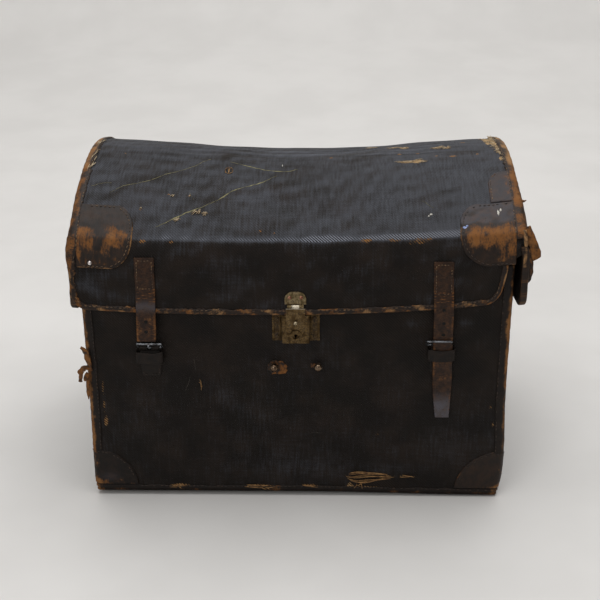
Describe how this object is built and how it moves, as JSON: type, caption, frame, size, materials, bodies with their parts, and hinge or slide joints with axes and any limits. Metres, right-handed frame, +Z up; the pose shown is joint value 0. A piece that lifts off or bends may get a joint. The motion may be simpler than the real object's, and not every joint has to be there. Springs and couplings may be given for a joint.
{
  "type": "dome top trunk",
  "caption": "Dome top travelling trunk covered in waxed canvas with leather edges, a hinged lid with hanging flaps, straps with buckles, a hasp lock and an open inside.",
  "frame": {"origin": "on the floor, under the middle of the base, on the underside of the middle batten", "axes": "+X along the trunk to its right end, +Y to the hinges at the back, +Z up; the lock faces -Y"},
  "size_m": [0.7282, 0.5011, 0.5675],
  "materials": {
    "black_canvas": "waxed black twill, worn",
    "woven_core": "plaited willow board",
    "lining_cloth": "plain cotton lining",
    "batten_wood": "stained softwood",
    "binding_leather": "dark brown, worn to tan",
    "strap_leather": "dark brown, dry",
    "aged_brass": "aged, dull",
    "copper_brass": "coppery, worn",
    "black_iron": "blackened",
    "lock_steel": "plain"
  },
  "bodies": {
    "base": {"base_canvas": "black_canvas", "base_core": "woven_core", "base_lining": "lining_cloth", "batten_front": "batten_wood", "batten_middle": "batten_wood", "batten_rear": "batten_wood", "batten_screws": "black_iron", "bolt_spring": "lock_steel", "bottom_binding": "binding_leather", "bottom_patch_front_left": "binding_leather", "bottom_patch_front_right": "binding_leather", "bottom_patch_rear_left": "binding_leather", "bottom_patch_rear_right": "binding_leather", "chape_left": "strap_leather", "chape_right": "strap_leather", "corner_binding_front_left": "binding_leather", "corner_binding_front_right": "binding_leather", "corner_binding_rear_left": "binding_leather", "corner_binding_rear_right": "binding_leather", "hinge_leaves_base": "black_iron", "hinge_pins": "black_iron", "hinge_rivets_base": "black_iron", "keeper_left": "strap_leather", "keeper_right": "strap_leather", "keyhole_ring": "aged_brass", "leather_tab": "binding_leather", "lock_plate": "aged_brass", "lock_rivets": "copper_brass", "rim_tape": "lining_cloth", "stud_left": "copper_brass", "stud_right": "copper_brass"},
    "lid": {"corner_cap_front_left": "binding_leather", "corner_cap_front_right": "binding_leather", "corner_cap_rear_left": "binding_leather", "corner_cap_rear_right": "binding_leather", "end_binding_left": "binding_leather", "end_binding_right": "binding_leather", "lid_canvas": "black_canvas", "lid_core": "woven_core", "lid_lining": "lining_cloth", "rim_binding_front": "binding_leather", "rim_binding_left": "binding_leather", "rim_binding_right": "binding_leather", "side_patch_right": "binding_leather", "hinge_leaves_lid": "black_iron", "hinge_rivets_lid": "black_iron", "hasp_plate": "aged_brass", "hasp_pin": "aged_brass", "hasp_rivets": "copper_brass", "strap_left": "strap_leather", "strap_right": "strap_leather"},
    "hasp": {"hasp_flap": "aged_brass", "hasp_knob": "aged_brass"},
    "lock_bolt_slider": {"lock_bolt": "lock_steel"},
    "left_strap_end": {"strap_tail_left": "strap_leather"},
    "right_strap_end": {"strap_tail_right": "strap_leather"},
    "left_buckle": {"buckle_left": "black_iron"},
    "left_prong": {"prong_left": "black_iron"},
    "right_buckle": {"buckle_right": "black_iron"},
    "right_prong": {"prong_right": "black_iron"}
  },
  "joints": [
    {"name": "lid_hinge", "type": "hinge", "parent": "base", "child": "lid", "pos_m": [0, 0.2379, 0.40039], "axis": [-1, 0, 0], "range_deg": [0, 100], "deforming": ["strap_tail_right"]},
    {"name": "hasp_hinge", "type": "hinge", "parent": "lid", "child": "hasp", "pos_m": [0, -0.2485, 0.37054], "axis": [-1, 0, 0], "range_deg": [0, 140]},
    {"name": "bolt_slide", "type": "slide", "parent": "base", "child": "lock_bolt_slider", "axis": [-1, 0, 0], "range_m": [0, 0.009]},
    {"name": "left_strap_lift", "type": "hinge", "parent": "lid", "child": "left_strap_end", "pos_m": [-0.2415, -0.249, 0.36011], "axis": [-1, 0, 0], "range_deg": [0, 100]},
    {"name": "right_strap_hang", "type": "hinge", "parent": "lid", "child": "right_strap_end", "pos_m": [0.2345, -0.249, 0.35977], "axis": [-1, 0, 0], "range_deg": [-90, 0]},
    {"name": "left_buckle_swing", "type": "hinge", "parent": "base", "child": "left_buckle", "pos_m": [-0.2415, -0.2399, 0.29314], "axis": [1, 0, 0], "range_deg": [0, 25]},
    {"name": "left_prong_swing", "type": "hinge", "parent": "left_buckle", "child": "left_prong", "pos_m": [-0.2415, -0.2399, 0.29314], "axis": [1, 0, 0], "range_deg": [0, 25]},
    {"name": "right_buckle_swing", "type": "hinge", "parent": "base", "child": "right_buckle", "pos_m": [0.2345, -0.2399, 0.29914], "axis": [1, 0, 0], "range_deg": [0, 25]},
    {"name": "right_prong_swing", "type": "hinge", "parent": "base", "child": "right_prong", "pos_m": [0.2345, -0.2399, 0.29914], "axis": [1, 0, 0], "range_deg": [-12, 8]}
  ],
  "couplings": [
    {"joint": "right_strap_hang", "follows": "lid_hinge", "ratio": -0.9}
  ]
}
